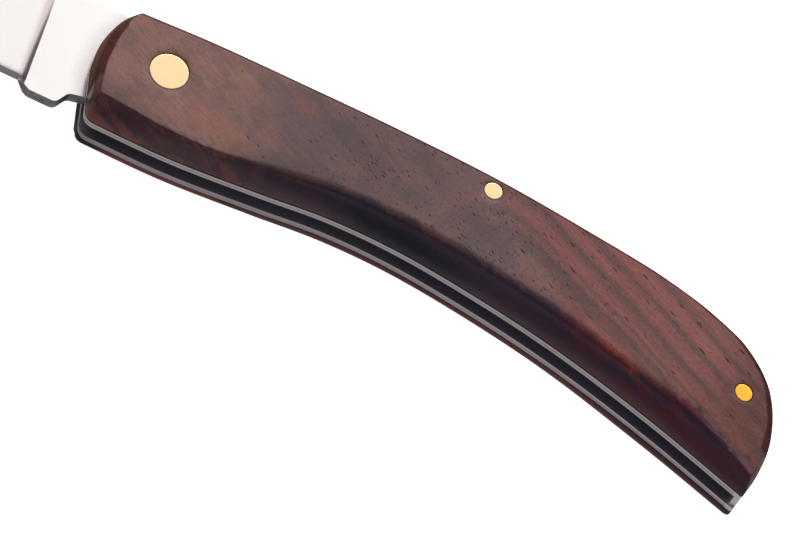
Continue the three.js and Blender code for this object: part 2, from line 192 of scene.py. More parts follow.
def through(points, t):
    """Smooth curve through the points, at the values t from 0 to 1."""
    p = np.asarray(points, float)
    p = np.vstack([2 * p[0] - p[1], p, 2 * p[-1] - p[-2]])
    spans = len(p) - 3
    place = np.clip(np.atleast_1d(t).astype(float), 0, 1) * spans
    i = np.minimum(place.astype(int), spans - 1)
    f = (place - i)[:, None]
    a, b, c, d = p[i], p[i + 1], p[i + 2], p[i + 3]
    before, here, after = [np.sum((v - u) ** 2, axis=1)[:, None] ** 0.25 for u, v in ((a, b), (b, c), (c, d))]
    leave = ((b - a) / before - (c - a) / (before + here) + (c - b) / here) * here
    arrive = ((c - b) / here - (d - b) / (here + after) + (d - c) / after) * here
    return b + leave * f + (3 * (c - b) - 2 * leave - arrive) * f**2 + (2 * (b - c) + leave + arrive) * f**3


def bezier(a, b, c, f):
    f = np.asarray(f)[..., None]
    return (1 - f) ** 2 * np.asarray(a) + 2 * f * (1 - f) * np.asarray(b) + f**2 * np.asarray(c)


def arc(centre, radius, start, end, steps):
    a = np.linspace(start, end, steps + 1)
    return np.stack([centre[0] + radius * np.cos(a), centre[1] + radius * np.sin(a)], axis=1)


def circle(place, radius, steps=ROUND_STEPS):
    return arc(place, radius, 0, 2 * math.pi * (1 - 1 / steps), steps - 1)


def inside_loop(points, loop, margin):
    """Which points lie in a closed loop, further than margin from it."""
    inside = np.zeros(len(points), bool)
    clear = np.ones(len(points), bool)
    for p, q in zip(loop, np.roll(loop, -1, axis=0)):
        crosses = (p[1] > points[:, 1]) != (q[1] > points[:, 1])
        run = q[1] - p[1] if q[1] != p[1] else 1e-12
        inside ^= crosses & (points[:, 0] < p[0] + (points[:, 1] - p[1]) / run * (q[0] - p[0]))
        d = q - p
        f = np.clip(((points - p) @ d) / max(d @ d, 1e-12), 0, 1)
        clear &= np.hypot(*(points - p - f[:, None] * d).T) > margin
    return inside & clear


class Side:
    """One side of the handle's outline, with the width of the wooden slope along it."""

    def __init__(self, points, bevel):
        self.points = points
        self.bevel = list(enumerate(bevel))
        self.t = np.linspace(0, 1, 6001)
        path = through(points, self.t)
        self.run = np.concatenate([[0], np.cumsum(norm(np.diff(path, axis=0)))])
        self.length = self.run[-1]

    def frame(self, share):
        """Place, direction and inward normal at shares of the side's length."""
        t = np.interp(np.atleast_1d(share) * self.length, self.run, self.t)
        along = through(self.points, t + 1e-4) - through(self.points, t - 1e-4)
        along /= norm(along)[:, None]
        return through(self.points, t), along, np.stack([-along[:, 1], along[:, 0]], axis=1)

    def width(self, share):
        return through(self.bevel, share)[:, 1]


def corner_shift(before, after):
    """How far a corner moves when both sides that meet there move in by their slopes."""
    a, b = before.frame(1)[2][0], after.frame(0)[2][0]
    wa, wb = before.width(1)[0], after.width(0)[0]
    det = a[0] * b[1] - a[1] * b[0]
    return np.array([(wa * b[1] - wb * a[1]) / det, (wb * a[0] - wa * b[0]) / det])


end_side = Side([TOP_CORNER, *END_POINTS, LOWER_CORNER], END_BEVEL)
back_side = Side([BEAK_TIP, *BACK_POINTS, TOP_CORNER], BACK_BEVEL)


def softened(corners, softness, steps):
    """A chain of corners (k, n, 2), each rounded within its share of the legs beside it."""
    rings = [corners[0]]
    for k in range(1, len(corners) - 1):
        back, ahead = softness[k - 1]
        a = corners[k] + (corners[k - 1] - corners[k]) * back
        b = corners[k] + (corners[k + 1] - corners[k]) * ahead
        for f in np.linspace(0, 1, steps[k - 1] + 1):
            rings.append((1 - f) ** 2 * a + 2 * f * (1 - f) * corners[k] + f**2 * b)
    rings.append(corners[-1])
    return np.array(rings)


def soft_crease(side_index, t):
    """How far the rounded edge of the flat face reaches: onto the face in mm, and down the slope."""
    if side_index == 1:
        flat = np.interp(t, CREASE_SHARES, CREASE_REACH)
        return flat, np.interp(flat, [0.1, 1.2], [0.06, 0.5])
    flat, slope = (0.12, 0.06) if side_index == 0 else (0.3, 0.2)
    return flat + 0 * t, slope + 0 * t


def scale_section(side_index, t, width, end_profile):
    """Shares of the slope's width and the thickness for each ring, at the places t along a side."""
    fade_in, fade_out = END_PROFILE_FADES
    weight = smooth(t / fade_in) * smooth((1 - t) / fade_out) if side_index == 0 else np.zeros_like(t)
    profile = [lerp(np.array(a)[None], np.array(b)[None], weight[:, None]) for a, b in zip(SLOPE_PROFILE, end_profile)]
    foot = np.stack([SEAM_ROUNDING / width, np.zeros_like(t)], axis=1)
    flat, slope_share = soft_crease(side_index, t)
    inner = np.stack([1 + flat / width, np.ones_like(t)], axis=1)
    seam = SEAM_ROUNDING / (WALL_SHARE * SCALE_THICKNESS)
    ridge = (SLOPE_SOFTNESS - 0.2 * weight)[:, None]
    softness = [
        (0.9, seam), (SLOPE_SOFTNESS, SLOPE_SOFTNESS), (SLOPE_SOFTNESS, SLOPE_SOFTNESS),
        (ridge, ridge * 0.6 + 0.08), (slope_share[:, None], 0.96),
    ]
    return softened([foot, *profile, inner], softness, SECTION_STEPS)


def scale_rings(slot_side, end_profile):
    """Rings of a scale from the liner to inside its flat face: places (k, n, 2) and heights (k, n)."""
    sides = [(end_side, END_STEPS), (slot_side, SLOT_STEPS), (back_side, BACK_STEPS)]
    shift = [corner_shift(sides[i][0], sides[(i + 1) % 3][0]) for i in range(3)]

    def moved_in(which, t, ring):
        side = sides[which][0]
        section = scale_section(which, t, side.width(t), end_profile)[ring]
        point, along, inward = side.frame(t)
        start, end = shift[which - 1] @ side.frame(0)[1][0], shift[which] @ side.frame(1)[1][0]
        share = section[:, :1]
        return point + inward * side.width(t)[:, None] * share + along * lerp(start, end, t)[:, None] * share, section

    places, heights = [], []
    middle_section = scale_section(1, np.array([0.5]), np.array([2.5]), end_profile)
    for ring, ring_share in enumerate(middle_section[:, 0, 0]):
        lower = lerp(LOWER_CORNER_TRIM, LOWER_CORNER_TRIM_ON_FACE, min(1, ring_share))
        trims = [SHARP_CORNER_TRIM, lower, SHARP_CORNER_TRIM]
        spots, levels = [], []
        for i, (side, steps) in enumerate(sides):
            after = (i + 1) % 3
            t = np.linspace(trims[i] / side.length, 1 - trims[after] / side.length, steps + 1)
            spot, section = moved_in(i, t, ring)
            next_spot, ahead = moved_in(after, np.array([trims[after] / sides[after][0].length]), ring)
            corner = side.frame(1)[0][0] + shift[i] * (section[-1, 0] + ahead[0, 0]) / 2
            f = np.arange(1, CORNER_STEPS) / CORNER_STEPS
            spots += [spot, bezier(spot[-1], corner, next_spot[0], f)]
            levels += [section[:, 1], lerp(section[-1, 1], ahead[0, 1], f)]
        places.append(np.vstack(spots))
        heights.append(np.concatenate(levels))
    return np.array(places), np.array(heights)


def under_crown(x, y, z):
    """A height in the near scale, kept under the crown with a soft edge where they meet."""
    s = x * math.cos(CROWN_TURN) + y * math.sin(CROWN_TURN) - CROWN_START_X
    crown = TOP_Z - np.sign(s) * s * s / (2 * CROWN_RADIUS)
    near = np.maximum(CROWN_BLEND - np.abs(z - crown), 0) / CROWN_BLEND
    return np.minimum(z, crown) - near * near * CROWN_BLEND / 4


# Shells

class Shell:
    """Collects rings of points and the faces between them, and becomes one closed mesh."""

    def __init__(self):
        self.points, self.faces, self.count = [], [], 0

    def ring(self, places, z):
        places = np.asarray(places)
        z = np.broadcast_to(z, len(places))
        self.points.append(np.column_stack([places, z]))
        self.count += len(places)
        return list(range(self.count - len(places), self.count))

    def bridge(self, *loops):
        for a, b in zip(loops, loops[1:]):
            for k in range(len(a)):
                m = (k + 1) % len(a)
                self.faces.append((a[k], a[m], b[m], b[k]))

    def cap(self, loops, inside=(), height=None):
        """Fills the first loop up to the round holes; inside adds loose points on it."""
        ids = [i for loop in loops for i in loop]
        hole_of = {i: k for k, loop in enumerate(loops[1:]) for i in loop}
        edges, start = [], 0
        for loop in loops:
            edges += [(start + k, start + (k + 1) % len(loop)) for k in range(len(loop))]
            start += len(loop)
        table = np.vstack(self.points)
        flat = [Vector(table[i, :2]) for i in ids]
        if len(inside):
            inside = np.asarray(inside)
            ids += self.ring(inside, height(inside))
            flat += [Vector(p) for p in inside]
        _, _, faces, sources, _, _ = delaunay_2d_cdt(flat, edges, [], 1, 1e-7)
        for face in faces:
            face = tuple(ids[sources[v][0]] for v in face)
            owners = {hole_of.get(i) for i in face}
            if None in owners or len(owners) > 1:
                self.faces.append(face)

    def mesh(self, name):
        mesh = bpy.data.meshes.new(name)
        mesh.from_pydata((np.vstack(self.points) * MM).tolist(), [], self.faces)
        tidy_mesh(mesh)
        return mesh


def tidy_mesh(mesh, crisp=32):
    """Merges doubles, turns faces outwards and keeps edges above crisp degrees sharp."""
    bm = bmesh.new()
    bm.from_mesh(mesh)
    bmesh.ops.remove_doubles(bm, verts=bm.verts, dist=2e-7)
    bmesh.ops.dissolve_degenerate(bm, edges=bm.edges, dist=1e-8)
    loose = [v for v in bm.verts if not v.link_faces]
    bmesh.ops.delete(bm, geom=loose, context="VERTS")
    bmesh.ops.recalc_face_normals(bm, faces=bm.faces)
    for face in bm.faces:
        face.smooth = True
    bm.to_mesh(mesh)
    bm.free()
    mesh.set_sharp_from_angle(angle=math.radians(crisp))
    mesh.update()


def mark(mesh, name, values):
    """Stores a number at each point of a mesh, for its finish."""
    layer = mesh.attributes.new(name, "FLOAT", "POINT")
    layer.data.foreach_set("value", np.asarray(values, np.float32))


def put(thing, **settings):
    for key, value in settings.items():
        setattr(thing, key, value)
    return thing


def new_object(name, data):
    thing = bpy.data.objects.new(name, data)
    bpy.context.collection.objects.link(thing)
    return thing


def place_piece(name, mesh, finish, body, slot, *nodes):
    """Puts a finished mesh in the scene in the place of its CAD nodes."""
    piece = new_object(name, mesh)
    mesh.materials.clear()
    mesh.materials.append(finish)
    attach(piece, body)
    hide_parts(*nodes)


# Node trees

def both_ways(operation):
    """The methods of an operator for a wire on its left and on its right."""
    return (
        lambda wire, other: wire.math(operation, wire, other),
        lambda wire, other: wire.math(operation, other, wire),
    )


class Wire:
    """A socket of a node tree on which the usual arithmetic adds Math nodes."""

    def __init__(self, tree, socket):
        self.tree, self.socket = tree, socket

    def out(self, key):
        """Another output of the same node."""
        return Wire(self.tree, self.socket.node.outputs[key])

    def math(self, operation, *values):
        return self.tree.add("ShaderNodeMath", dict(enumerate(values)), operation=operation)

    __add__, __radd__ = both_ways("ADD")
    __sub__, __rsub__ = both_ways("SUBTRACT")
    __mul__, __rmul__ = both_ways("MULTIPLY")
    __truediv__, __rtruediv__ = both_ways("DIVIDE")
    __pow__, __rpow__ = both_ways("POWER")
    above = both_ways("MAXIMUM")[0]
    below = both_ways("MINIMUM")[0]

    def __abs__(self):
        return self.math("ABSOLUTE", self)

    def rises(self, start, end):
        """0 before start, 1 after end, smooth between them; start may be the larger."""
        if start > end:
            return 1 - self.rises(end, start)
        values = {"Value": self, "From Min": start, "From Max": end}
        return self.tree.add("ShaderNodeMapRange", values, interpolation_type="SMOOTHSTEP")


class Tree:
    """Adds nodes to a shader or geometry tree."""

    def __init__(self, owner):
        self.owner = owner

    def add(self, kind, values=None, **settings):
        """A new node with values or wires in its sockets: its first output, or the node where it has none."""
        node = put(self.owner.nodes.new(kind), **settings)
        for key, value in (values or {}).items():
            if isinstance(value, Wire):
                self.owner.links.new(value.socket, node.inputs[key])
            else:
                node.inputs[key].default_value = value
        return Wire(self, node.outputs[0]) if node.outputs else node

    def join(self, x, y, z):
        return self.add("ShaderNodeCombineXYZ", {0: x, 1: y, 2: z})

    def split(self, vector):
        x = self.add("ShaderNodeSeparateXYZ", {0: vector})
        return x, x.out(1), x.out(2)


class Finish(Tree):
    """A material whose shader values are constants or wires."""

    def __init__(self, name, **constants):
        self.material = bpy.data.materials.new(name)
        self.material.use_nodes = True
        super().__init__(self.material.node_tree)
        self.owner.nodes.clear()
        constants = {key.replace("_", " "): value for key, value in constants.items()}
        self.shader = self.add("ShaderNodeBsdfPrincipled", constants)
        self.output = self.add("ShaderNodeOutputMaterial", {0: self.shader})
        values = {0: self.add("ShaderNodeTexCoord").out("Object"), 1: (1 / MM,) * 3}
        self.place = self.add("ShaderNodeVectorMath", values, operation="MULTIPLY")
        self.x, self.y, self.z = self.split(self.place)

    def feed(self, **wires):
        """Gives the shader wires for its values, and returns the finished material."""
        for key, wire in wires.items():
            self.owner.links.new(wire.socket, self.shader.socket.node.inputs[key.replace("_", " ")])
        return self.material

    def noise(self, scale, detail=2, roughness=0.5, place=None, kind="3D"):
        values = {"Scale": scale, "Detail": detail, "Roughness": roughness}
        values["W" if kind == "1D" else "Vector"] = place or self.place
        return self.add("ShaderNodeTexNoise", values, noise_dimensions=kind)

    def mix(self, share, a, b, blend="MIX"):
        """Blend of two colours: wires, linear triples, or 8-bit hex colours whose levels are above 10."""
        values = {0: share}
        for key, colour in ((6, a), (7, b)):
            if isinstance(colour, str):
                colour = [((v / 255 + 0.055) / 1.055) ** 2.4 for v in bytes.fromhex(colour)]
            values[key] = colour if isinstance(colour, Wire) else (*colour, 1)
        return self.add("ShaderNodeMix", values, data_type="RGBA", blend_type=blend).out(2)

    def over(self, colour, *coats):
        """The colour under coats of (share, colour), each laid over those before it."""
        for share, coat in coats:
            colour = self.mix(share, colour, coat)
        return colour

    def ramp(self, place, stops):
        """A grey ramp over places from 0 to 1; stops are (place, level) pairs."""
        made = self.add("ShaderNodeValToRGB", {0: place})
        elements = made.socket.node.color_ramp.elements
        while len(elements) < len(stops):
            elements.new(1.0)
        for element, (at, level) in zip(elements, stops):
            put(element, position=at, color=(level, level, level, 1))
        return made

    def attribute(self, name):
        return self.add("ShaderNodeAttribute", attribute_name=name, attribute_type="GEOMETRY").out("Fac")

    def dull(self, share, colour):
        """A share of the surface without shine, for hollows and end grain, and where shade is painted."""
        values = {"Base Color": colour, "Roughness": 0.9, "Specular IOR Level": 0.0}
        flat = self.add("ShaderNodeBsdfPrincipled", values)
        both = self.add("ShaderNodeMixShader", {0: share, 1: self.shader, 2: flat})
        self.owner.links.new(both.socket, self.output.inputs[0])

    def bump(self, height, strength, distance):
        return self.add("ShaderNodeBump", {"Height": height, "Strength": strength, "Distance": distance * MM})


# Finishes

def times(share, colour):
    return tuple(share * c for c in colour)


def away(x, y):
    return (x * x + y * y) ** 0.5


def turned(x, y, degrees):
    """Distances along and across a direction in the plane of the handle."""
    c, s = math.cos(math.radians(degrees)), math.sin(math.radians(degrees))
    return x * c + y * s, y * c - x * s


# Turn of the figure and of the pores in degrees, and the arch of the growth rings in mm
GRAIN_TURN = -24
PORE_TURN = -27
ARCH_FALL = 0.34
ARCH_LEVEL = 43.2
ARCH_ROUNDING = 4.2
# Growth rings: distance across the grain, and how light the wood is there
RINGS = [
    (14.5, 0.7), (17, 0.3), (19, 0.85), (20.6, 0.35), (22.5, 0.7), (25.6, 0.8), (26.5, 0.3), (28.4, 0.0),
    (28.9, 0.8), (29.5, 0.2), (30.2, 0.9), (31.4, 0.5), (32.4, 0.05), (33.3, 0.95), (34.5, 0.8), (35.6, 0.12),
    (36.6, 1.0), (38.1, 0.85), (38.9, 0.15), (40.1, 1.0), (41.2, 0.4), (43, 0.9),
]
# Clouds of colour: middle, reach along and across, turn of the long axis in degrees, strength, colour. The first is a
# painted glow of light near the pivot and the last is painted shade along the slot side's crease; the others lie in
# the figure
CLOUDS = [
    ((10.5, -4.6), 8.0, 2.6, -18, 0.7, "ac6c54"),
    ((20.0, 3.0), 10.0, 4.0, -16, 0.6, "6c5452"),
    ((29.5, 3.2), 9.0, 2.1, -24, 0.6, "524042"),
    ((19.7, 5.8), 3.4, 1.7, -20, 0.5, "96584c"),
    ((60.0, -1.0), 6.5, 2.2, -22, 0.5, "98665c"),
    ((49.5, 1.6), 6.5, 2.0, -12, 0.6, "604644"),
    ((94.0, -7.5), 6.5, 2.6, -30, 0.5, "92543c"),
    ((41.0, -6.4), 13.5, 3.6, -4, 1.0, "2e2e3c"),
]
RIVETS = [(PIVOT, PIVOT_HEAD_RADIUS), (MIDDLE_PIN, PIN_RADIUS), (BUTT_PIN, PIN_RADIUS)]


def cloud(tree, ragged, spot):
    """A coat that lies in an elliptical cloud with a ragged edge."""
    (cx, cy), along, across, turn, strength, colour = spot
    a, b = turned(tree.x - cx, tree.y - cy, turn)
    return (away(a / along, b / across) + ragged).rises(1.15, 0.35) * strength, colour


def pore_layer(tree, turn, length, width, share):
    """Short open pores that lie along the grain; share is how many of the cells hold one."""
    along, across = turned(tree.x, tree.y, turn)
    place = tree.join(along / length, (across + tree.z - TOP_Z) / width, 0)
    values = {"Vector": place, "Scale": 1.0, "Randomness": 1.0}
    cells = tree.add("ShaderNodeTexVoronoi", values, feature="F1", voronoi_dimensions="2D")
    chance = tree.add("ShaderNodeSeparateColor", {0: cells.out("Color")})
    size = 0.1 + 0.12 * chance.out(1)
    return (size - cells).rises(-0.03, 0.05) * (share - chance).rises(0, 0.01)


def dark_hardwood():
    """Polished reddish hardwood: growth rings that arch over, clouds, fibres and open pores, with painted shade and
    painted glows of light on its face, slopes and ends.
    """
    wood = Finish("dark_hardwood", Roughness=0.3, IOR=1.5)
    x, y, z = wood.x, wood.y, wood.z
    # How far past the slot side's crease, and how far outside the flat face
    edge, rim = wood.attribute("edge"), wood.attribute("rim")
    drift = wood.noise(0.05) - 0.5
    ripple = wood.noise(0.4, 3, 0.6) - 0.5
    u, across = turned(x, y, GRAIN_TURN)
    v = across + 0.3 * (z - TOP_Z) + 1.6 * drift + 0.7 * ripple

    def drawn_out(along, over, up, detail, roughness, lift=0):
        """Noise drawn out along the grain."""
        return wood.noise(1, detail, roughness, wood.join(u * along, v * over, z * up + lift))

    mottle = wood.noise(0.22, 4, 0.6)
    speck = wood.noise(2.2, 3, 0.7)
    streak = drawn_out(0.06, 2.4, 0.3, 4, 0.65)
    fibre = drawn_out(0.45, 4.5, 2.0, 3, 0.7)
    tint = drawn_out(0.1, 0.9, 0.5, 4, 0.65)
    blotch = drawn_out(0.14, 0.6, 0.3, 4, 0.6, lift=4).rises(0.46, 0.54)
    stripe = drawn_out(0.08, 0.7, 0.2, 3, 0.6)
    scratches = drawn_out(0.22, 4, 1, 2, 0.5).rises(0.6, 0.7) * x.rises(16, 6)
    waver = streak - 0.5
    ragged = 0.5 * (mottle - 0.5) + 0.35 * ripple + 0.5 * waver
    coats = [cloud(wood, ragged, spot) for spot in CLOUDS]
    glow, grey, grey_band, red, salmon, arch_grey, butt_brown, (dark, dark_colour) = coats

    # Growth rings, and the plainer wood in front of their arch
    leg = ARCH_LEVEL - ARCH_FALL * u
    gap = v - leg
    ring = 0.5 * (v + leg + (gap * gap + ARCH_ROUNDING**2) ** 0.5)
    low, high = RINGS[0][0], RINGS[-1][0]
    light = wood.ramp((ring - low) / (high - low), [((at - low) / (high - low), level) for at, level in RINGS])
    arch = (u + 0.3 * v + 3 * ripple + 4 * waver).rises(41, 46.5)
    calm = gap.rises(-3, 4)
    rings = wood.over(
        wood.mix(light, "623e39", "a0564c"),
        (tint.rises(0.52, 0.68) * 0.5, "8e3e36"),
        ((1 - calm) * 0.6, "745c5c"),
    )
    middle = wood.mix((0.5 * tint + 0.5 * mottle).rises(0.4, 0.6), "684b49", "805853")
    front = wood.mix((0.4 * tint + 0.6 * mottle).rises(0.4, 0.6), "8a6058", "a47061")

    # The flat face, with a painted glow of light near the pivot, a painted orange glow by the crease, and painted
    # shade by the crease and at the butt
    # Painted shade: the wood darker and duller at the butt, where the crown turns away from the light
    butt = (x + 4 * ripple + 3 * waver - 0.25 * y).rises(86, 97)
    # Painted light: an orange glow on the face by the slot side's crease, towards the butt
    crease_glow = (edge + 3.0 * ripple + 2 * waver).rises(-4.0, -0.6) * (x + 8 * ripple).rises(62, 74)
    crease_glow *= (x + 8 * ripple).rises(86, 76)
    # Painted shade: the face darker just above the slot side's crease, between 56 and 73 mm
    crease_shade = (edge + 2 * ripple).rises(-3.0, -0.5) * x.rises(56, 62) * x.rises(73, 66)
    face = wood.over(
        # The front part lies under a painted glow of light near the pivot
        wood.mix((x + 5 * ripple + 6 * waver).rises(22, 9), middle, wood.over(front, glow)),
        grey, grey_band, red, (arch, rings), salmon, arch_grey,
        (butt * 0.55, "543632"), butt_brown,
        (scratches * 0.3, "c49684"),
        (crease_glow * 0.28, "b8503c"),
        (crease_shade * 0.5, "5c3c3a"),
    )
    shade = 1 + (0.3 + 0.8 * arch * calm) * waver + (0.45 + 0.55 * arch * calm) * (fibre - 0.5)
    shade += (0.7 + 0.5 * arch) * (speck - 0.5)
    shade = shade.above(0.2)
    face = wood.mix(1.0, face, wood.add("ShaderNodeCombineColor", {0: shade, 1: shade, 2: shade}), "MULTIPLY")

    # The slopes' colour: painted shade, dark and bluish, less dark on the far scale and towards the butt and lighter
    # low down by the liner as painted light, with red streaks, blotches and stripes of the figure
    far_side = z.rises(MIDDLE_Z + 1, MIDDLE_Z - 1)
    # Painted light: the slope lighter low down, next to the liner, less so in the middle
    lit_low_slope = (edge + 0.8 * ripple).rises(0.9, 2.6) * (1 - 0.75 * x.rises(33, 42) * x.rises(76, 62))
    red_streak = ((x + 10 * ripple).rises(52, 66) * x.rises(76, 64)).above(x.rises(20, 12)) * streak.rises(0.52, 0.66)
    # Stripes of the figure on the front slope, lighter towards the liner and the very front as painted light
    stripe = (stripe + 0.07 * (edge - 2.1) + 0.03 * x.rises(4, -6)).rises(0.43, 0.55)
    slope = wood.over(
        wood.mix(lit_low_slope, "4e3e50", "725058"),
        (x.rises(60, 74) * (0.75 - 0.4 * lit_low_slope), "3c3446"),
        (blotch * x.rises(58, 72) * 0.85, "7a343e"),
        (red_streak * 0.5, "923436"),
        (x.rises(86, 92) * 0.5, "704a56"),
        (far_side * 0.8, "8a5054"),
        (far_side * x.rises(70, 84) * 0.7, "4e383e"),
        (x.rises(22, 12) * 0.8, wood.mix(stripe, "4a2e3c", "ac5652")),
    )

    # Over both: painted shade past and along the slot side's crease, on the far scale's front and on the end and back
    # slopes; a dark seam above the near liner with painted shade; a painted light on the front wall; and dark joints
    # round the rivets
    # Painted shade of the slopes, laid past the slot side's crease; its reach along the length sets where the crease
    # seems to lie
    reach = x.rises(59, 64) * 0.7 - x.rises(66, 78) * 1.0 + x.rises(79.5, 85.5) * 1.05 - x.rises(87, 96) * 0.5
    slope_shade = (edge + reach + 5 * ripple + 3 * waver).rises(-0.6, 0.35)
    shaded = (edge + 3 * ripple).rises(-4.2, -0.6) * x.rises(9, 16) * x.rises(35, 28)
    # Painted shade: the dark bluish cloud is kept to the face next to the slot side's crease and to the slope
    dark *= (edge + 4 * ripple + 2 * waver).rises(-1.6, -0.5)
    # A dark line along the near scale's joint with the near liner: partly a dark joint, partly painted shade on the
    # scale's low wall
    seam = z.rises(NEAR_SCALE_Z + 0.62, NEAR_SCALE_Z + 0.2) * z.rises(MIDDLE_Z, MIDDLE_Z + 1)
    # Painted shade: the far scale dark at the front end
    far_front_shade = z.rises(MIDDLE_Z, MIDDLE_Z - 1) * x.rises(-2, -5)
    # Painted shade: the end and back slopes and the front end darker and duller outside the flat face
    outer = rim.rises(0.02, 0.35) * edge.rises(-2.5, -3.5).above(x.rises(-8.2, -8.8))
    # Painted light: the near scale's front end wall lighter and warmer, as light glancing off it
    lit_front_wall = rim.rises(1.3, 1.5) * x.rises(-5, -7) * z.rises(6, 8)
    base = wood.over(
        face,
        # Painted shade on the face near the crease at the front end
        ((edge + 2 * ripple).rises(-4, -0.5) * x.rises(6, -4) * 0.5, "603e3c"),
        (shaded * 0.55, "543e40"),
        (slope_shade * (0.7 + 0.22 * x.rises(14, 30)), slope),
        (dark * (0.92 - 0.8 * far_side), dark_colour),
        (seam * 0.8, "22181a"),
        (far_front_shade * 0.85, "2a2428"),
        (outer * 0.66, "3c1a1c"),
        (lit_front_wall * 0.7, "965848"),
    )
    for (cx, cy), radius in RIVETS:
        joint = (away(x - cx, y - cy) - radius + 0.12 * ripple).rises(0.3, 0.08)
        base = wood.mix(joint * 0.75, base, "301a16")

    some = x.rises(14, 30) * x.rises(82, 46)
    pores = pore_layer(wood, PORE_TURN, 1.8, 0.48, 0.02 + 0.75 * some * mottle.rises(0.38, 0.62))
    pores = pores.above(pore_layer(wood, GRAIN_TURN, 3.4, 0.7, 0.11 * x.rises(42, 60)))
    pores *= 1 - 0.85 * slope_shade.above(rim.rises(0.3, 1.0))
    # No shine on the pores, nor on the places of painted shade, which darkens them further
    shineless = (pores * 0.75).above(outer * 0.88).above(butt * 0.45).above(seam * 0.95).above(far_front_shade * 0.7)
    shineless = shineless.above(far_side * slope_shade * 0.6).above(slope_shade * edge.rises(0.2, -0.2) * x.rises(81, 86) * 0.8)
    wood.dull(shineless, wood.mix(pores, base, "28181a"))
    rough = 0.24 + 0.1 * speck + 0.3 * pores
    return wood.feed(Base_Color=base, Roughness=rough, Normal=wood.bump(fibre * 0.3 + speck * 0.1 - pores, 0.4, 0.04))


def ground_steel(name, colour, roughness):
    """Steel with fine ground lines along its edges, dark in the slot and along the wood as dark joints with painted
    shade, painted darker on the far liner as shade, and with a painted highlight at the butt end.
    """
    steel = Finish(name, Metallic=1.0)
    x, z = steel.x, steel.z
    grime_and_shade = (0.1, 0.08, 0.08)
    lines = steel.noise(1, 3, 0.7, steel.join(x * 0.05, steel.y * 0.05, z * 9))
    blotch = steel.noise(0.35, 3)
    depth = abs(z - MIDDLE_Z) - SLOT_WIDTH / 2
    groove = depth.rises(0.4, 0.56) * depth.rises(0.86, 0.7)
    # Dark lines along the joints with the wood and at the slot's edge: partly dark joints, partly painted shade
    seam = depth.rises(LINER_THICKNESS - 0.14, LINER_THICKNESS - 0.03)
    seam = seam.above(depth.rises(0.1, 0.02) * depth.rises(-0.02, 0.0))
    # A dark line low on the far liner at both ends, near its joint with the far scale: partly grime, partly painted
    # shade
    lower_seam = z.rises(FAR_LINER_Z + 0.42, FAR_LINER_Z + 0.28) * x.rises(4, -4).above(x.rises(60, 84))
    # Painted shade: the steel down in the slot dark and bluish, darker still at the front
    inside = depth.rises(0.03, -0.01) * steel.y.rises(9, 6) * x.rises(99.6, 97.4)
    # Painted shade: the far liner darker, more so towards the front, and darkest at the front end
    far = z.rises(MIDDLE_Z, MIDDLE_Z - 1)
    shade = steel.over(
        steel.mix(lines, times(0.8, colour), colour),
        (blotch.rises(0.5, 0.8) * 0.3, times(0.6, colour)),
        (groove * (0.4 + 0.5 * blotch), times(0.42, colour)),
        (seam * 0.6, grime_and_shade),
        (lower_seam * 0.75, grime_and_shade),
        # Painted highlight: the steel pale at the butt end
        (x.rises(99.2, 99.8) * 0.7, (0.97, 0.92, 0.92)),
        (far * x.rises(76, 0) * 0.75, times(0.58, colour)),
        (far * x.rises(-4, -6.5) * 0.6, times(0.4, colour)),
        (inside * 0.8, steel.mix(x.rises(4, -5), (0.34, 0.34, 0.41), (0.25, 0.24, 0.28))),
    )
    rough = roughness + 0.14 * lines + 0.3 * inside
    return steel.feed(Base_Color=shade, Roughness=rough, Normal=steel.bump(lines, 0.2, 0.02))


# Circle that the handle's front end follows: middle and radius
FRONT_ARC = ((4.2, 0.4), 14.85)


def polished_blade_steel():
    """Polished blade steel with a fine cross grind, duller sides, and greyish-pink painted shade near the handle and
    along the plunge, pinkish as a painted reflection of the wood.
    """
    steel = Finish("polished_blade_steel", Metallic=1.0)
    side = steel.attribute("side")
    lines = steel.noise(1, 3, 0.65, steel.join(steel.x * 7, steel.y * 0.12, steel.z * 0.3))
    haze = steel.noise(0.16)
    grime_and_shade = steel.noise(0.9, 4, 0.65)
    (cx, cy), radius = FRONT_ARC
    # Painted shade near the handle's front end, pinkish as a painted reflection of the wood
    from_handle = away(steel.x - cx, steel.y - cy) - radius + 1.4 * (grime_and_shade - 0.5)
    past_plunge = PLUNGE_X - steel.x + PLUNGE_LEAN * steel.y
    ramp = past_plunge.rises(-0.05, 0.1) * past_plunge.rises(1.3, 0.8)
    shade = steel.over(
        steel.mix(lines, (0.78, 0.755, 0.735), (0.845, 0.825, 0.805)),
        (from_handle.rises(2.8, 0.0) * 0.38, (0.42, 0.33, 0.32)),
        # Painted shade along the plunge, pinkish as a painted reflection of the wood
        (past_plunge.rises(-0.1, 0.3) * past_plunge.rises(1.9, 0.8) * 0.45, (0.66, 0.5, 0.5)),
        (side * (0.85 + 0.15 * grime_and_shade), steel.mix(grime_and_shade.rises(0.35, 0.65), (0.2, 0.17, 0.17), (0.42, 0.38, 0.38))),
    )
    rough = 0.16 + 0.07 * lines + 0.06 * haze + 0.2 * side + 0.14 * ramp
    return steel.feed(Base_Color=shade, Roughness=rough, Normal=steel.bump(lines, 0.06, 0.008))


def ground_brass(name, colour):
    """Brass ground flush: faint scratches one way and slight tarnish."""
    brass = Finish(name, Metallic=1.0)
    place = brass.join(brass.x * 0.4 + brass.y * 0.8, brass.y * 3 - brass.x * 2.1, brass.z)
    scratch = brass.noise(1, 3, 0.7, place)
    tarnish = brass.noise(0.9, 3).rises(0.5, 0.85)
    brown = tuple(c * k for c, k in zip(colour, (0.75, 0.65, 0.5)))
    shade = brass.over(colour, (scratch * 0.25, times(0.92, colour)), (tarnish * 0.15, brown))
    return brass.feed(Base_Color=shade, Roughness=0.24 + 0.05 * scratch, Normal=brass.bump(scratch, 0.02, 0.01))


